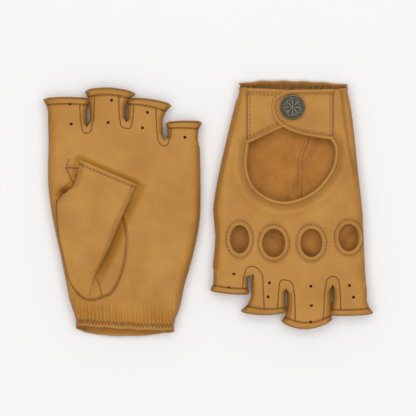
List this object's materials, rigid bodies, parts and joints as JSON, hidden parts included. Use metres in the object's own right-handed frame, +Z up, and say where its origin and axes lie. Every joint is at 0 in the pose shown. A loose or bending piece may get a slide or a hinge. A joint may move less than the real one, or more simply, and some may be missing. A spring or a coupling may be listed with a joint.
{
  "type": "pair of fingerless leather driving gloves",
  "caption": "Pair of tan leather driving gloves with open fingers, knuckle holes, a round back opening, a snap wrist strap and an elastic cuff, lying flat with one palm up.",
  "frame": {"origin": "middle of the pair's outline, on the surface the gloves lie on", "axes": "+X from the left glove to the right glove, +Y towards the left glove's fingertips, +Z up"},
  "size_m": [0.2318, 0.175, 0.018],
  "materials": {
    "tan_leather": "smooth aniline nappa, soft sheen",
    "edge_leather": "the same leather turned over at seams and rims",
    "elastic_webbing": "woven elastic",
    "antique_metal": "antiqued gunmetal plating"
  },
  "bodies": {
    "left_hand": {"left_palm_panel": "tan_leather", "left_back_panel": "tan_leather", "left_opening_binding": "edge_leather", "left_knuckle_bindings": "edge_leather", "left_crotch_fourchettes": "edge_leather", "left_cuff_hem": "tan_leather", "left_cuff_elastic": "elastic_webbing"},
    "left_index_finger": {"left_index_stall": "tan_leather", "left_index_hem": "edge_leather", "left_index_fourchette": "edge_leather"},
    "left_middle_finger": {"left_middle_stall": "tan_leather", "left_middle_hem": "edge_leather", "left_middle_fourchette": "edge_leather"},
    "left_ring_finger": {"left_ring_stall": "tan_leather", "left_ring_hem": "edge_leather", "left_ring_fourchette": "edge_leather"},
    "left_little_finger": {"left_little_stall": "tan_leather", "left_little_hem": "edge_leather", "left_little_fourchette": "edge_leather"},
    "left_thumb": {"left_thumb_stall": "tan_leather", "left_thumb_hem": "edge_leather"},
    "left_wrist_strap": {"left_strap": "tan_leather", "left_strap_binding": "edge_leather", "left_snap_cap": "antique_metal", "left_snap_socket": "antique_metal"},
    "left_wrist_under_tab": {"left_under_tab": "tan_leather", "left_under_tab_binding": "edge_leather", "left_snap_stud": "antique_metal", "left_snap_post": "antique_metal"},
    "right_hand": {"right_palm_panel": "tan_leather", "right_back_panel": "tan_leather", "right_opening_binding": "edge_leather", "right_knuckle_bindings": "edge_leather", "right_crotch_fourchettes": "edge_leather", "right_cuff_hem": "tan_leather", "right_cuff_elastic": "elastic_webbing"},
    "right_index_finger": {"right_index_stall": "tan_leather", "right_index_hem": "edge_leather", "right_index_fourchette": "edge_leather"},
    "right_middle_finger": {"right_middle_stall": "tan_leather", "right_middle_hem": "edge_leather", "right_middle_fourchette": "edge_leather"},
    "right_ring_finger": {"right_ring_stall": "tan_leather", "right_ring_hem": "edge_leather", "right_ring_fourchette": "edge_leather"},
    "right_little_finger": {"right_little_stall": "tan_leather", "right_little_hem": "edge_leather", "right_little_fourchette": "edge_leather"},
    "right_thumb": {"right_thumb_stall": "tan_leather", "right_thumb_hem": "edge_leather"},
    "right_wrist_strap": {"right_strap": "tan_leather", "right_strap_binding": "edge_leather", "right_snap_cap": "antique_metal", "right_snap_socket": "antique_metal"},
    "right_wrist_under_tab": {"right_under_tab": "tan_leather", "right_under_tab_binding": "edge_leather", "right_snap_stud": "antique_metal", "right_snap_post": "antique_metal"}
  },
  "joints": [
    {"name": "left_index_flex", "type": "hinge", "parent": "left_hand", "child": "left_index_finger", "pos_m": [-0.0989, 0.05455, 0.018], "axis": [1, 0, 0], "range_deg": [0, 60]},
    {"name": "left_middle_flex", "type": "hinge", "parent": "left_hand", "child": "left_middle_finger", "pos_m": [-0.07135, 0.05775, 0.018], "axis": [1, 0, 0], "range_deg": [0, 60]},
    {"name": "left_ring_flex", "type": "hinge", "parent": "left_hand", "child": "left_ring_finger", "pos_m": [-0.0446, 0.05775, 0.018], "axis": [1, 0, 0], "range_deg": [0, 60]},
    {"name": "left_little_flex", "type": "hinge", "parent": "left_hand", "child": "left_little_finger", "pos_m": [-0.01955, 0.04655, 0.018], "axis": [1, 0, 0], "range_deg": [0, 60]},
    {"name": "left_thumb_unfold", "type": "hinge", "parent": "left_hand", "child": "left_thumb", "pos_m": [-0.1035, -0.026, 0.018], "axis": [0.124, -0.9923, 0], "range_deg": [0, 75]},
    {"name": "left_strap_open", "type": "hinge", "parent": "left_hand", "child": "left_wrist_strap", "pos_m": [-0.08825, -0.068, 0], "axis": [0, 1, 0], "range_deg": [0, 150]},
    {"name": "left_under_tab_open", "type": "hinge", "parent": "left_hand", "child": "left_wrist_under_tab", "pos_m": [-0.02825, -0.068, 0], "axis": [0, -1, 0], "range_deg": [0, 60]},
    {"name": "right_index_flex", "type": "hinge", "parent": "right_hand", "child": "right_index_finger", "pos_m": [0.0989, -0.05455, 0], "axis": [1, 0, 0], "range_deg": [0, 60]},
    {"name": "right_middle_flex", "type": "hinge", "parent": "right_hand", "child": "right_middle_finger", "pos_m": [0.07135, -0.05775, 0], "axis": [1, 0, 0], "range_deg": [0, 60]},
    {"name": "right_ring_flex", "type": "hinge", "parent": "right_hand", "child": "right_ring_finger", "pos_m": [0.0446, -0.05775, 0], "axis": [1, 0, 0], "range_deg": [0, 60]},
    {"name": "right_little_flex", "type": "hinge", "parent": "right_hand", "child": "right_little_finger", "pos_m": [0.01955, -0.04655, 0], "axis": [1, 0, 0], "range_deg": [0, 60]},
    {"name": "right_thumb_unfold", "type": "hinge", "parent": "right_hand", "child": "right_thumb", "pos_m": [0.1035, 0.026, 0], "axis": [0.124, -0.9923, 0], "range_deg": [0, 75]},
    {"name": "right_strap_open", "type": "hinge", "parent": "right_hand", "child": "right_wrist_strap", "pos_m": [0.08825, 0.068, 0.018], "axis": [0, 1, 0], "range_deg": [0, 150]},
    {"name": "right_under_tab_open", "type": "hinge", "parent": "right_hand", "child": "right_wrist_under_tab", "pos_m": [0.02825, 0.068, 0.018], "axis": [0, -1, 0], "range_deg": [0, 60]},
    {"name": "right_glove_lift", "type": "slide", "parent": "left_hand", "child": "right_hand", "axis": [0, 0, 1], "range_m": [0, 0.06]}
  ],
  "couplings": [
    {"joint": "left_under_tab_open", "follows": "left_strap_open", "ratio": 0.4},
    {"joint": "right_under_tab_open", "follows": "right_strap_open", "ratio": 0.4}
  ]
}
